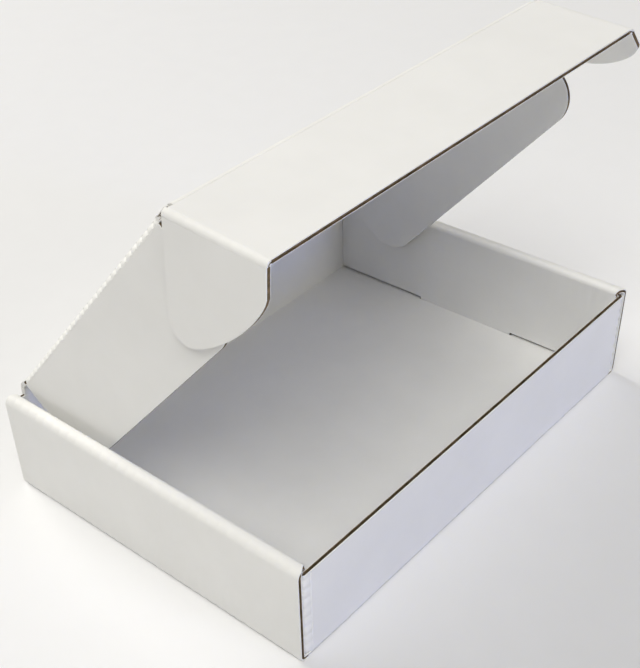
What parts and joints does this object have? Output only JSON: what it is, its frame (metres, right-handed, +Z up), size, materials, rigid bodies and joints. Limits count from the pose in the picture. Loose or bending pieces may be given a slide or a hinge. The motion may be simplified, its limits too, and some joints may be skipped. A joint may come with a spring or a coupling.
{
  "type": "corrugated mailer box",
  "caption": "Roll-end corrugated mailer box with a tuck-in lid, standing open, with creases that turn for the lid, its tuck flap, its ears and its dust flaps",
  "frame": {"origin": "centre of the underside, on the surface the box stands on", "axes": "+X along the front wall, +Y towards the wall that carries the lid, +Z up"},
  "size_m": [0.3309, 0.209, 0.2163],
  "materials": {
    "white_board": "uncoated matt white liner on both faces, brown fluting in the cut edges"
  },
  "bodies": {
    "tray": {"tray": "white_board"},
    "lid": {"lid": "white_board"},
    "tuck_flap": {"tuck_flap": "white_board"},
    "left_ear": {"left_ear": "white_board"},
    "right_ear": {"right_ear": "white_board"},
    "left_dust_flap": {"left_dust_flap": "white_board"},
    "right_dust_flap": {"right_dust_flap": "white_board"}
  },
  "joints": [
    {"name": "lid_hinge", "type": "hinge", "parent": "tray", "child": "lid", "pos_m": [0, 0.10315, 0.06265], "axis": [-1, 0, 0], "range_deg": [-32, 131.4]},
    {"name": "tuck_hinge", "type": "hinge", "parent": "lid", "child": "tuck_flap", "pos_m": [0, -0.03116, 0.215], "axis": [-1, 0, 0], "range_deg": [-37.5, 52.5]},
    {"name": "left_ear_hinge", "type": "hinge", "parent": "tuck_flap", "child": "left_ear", "pos_m": [-0.1379, -0.03116, 0.215], "axis": [0, 0.9977, 0.068], "range_deg": [0, 90]},
    {"name": "right_ear_hinge", "type": "hinge", "parent": "tuck_flap", "child": "right_ear", "pos_m": [0.1379, -0.03116, 0.215], "axis": [0, -0.9977, -0.068], "range_deg": [-45, 45]},
    {"name": "left_dust_hinge", "type": "hinge", "parent": "lid", "child": "left_dust_flap", "pos_m": [-0.133, 0.10203, 0.06166], "axis": [0, -0.6613, 0.7501], "range_deg": [0, 85]},
    {"name": "right_dust_hinge", "type": "hinge", "parent": "lid", "child": "right_dust_flap", "pos_m": [0.133, 0.10203, 0.06166], "axis": [0, 0.6613, -0.7501], "range_deg": [0, 85]}
  ]
}
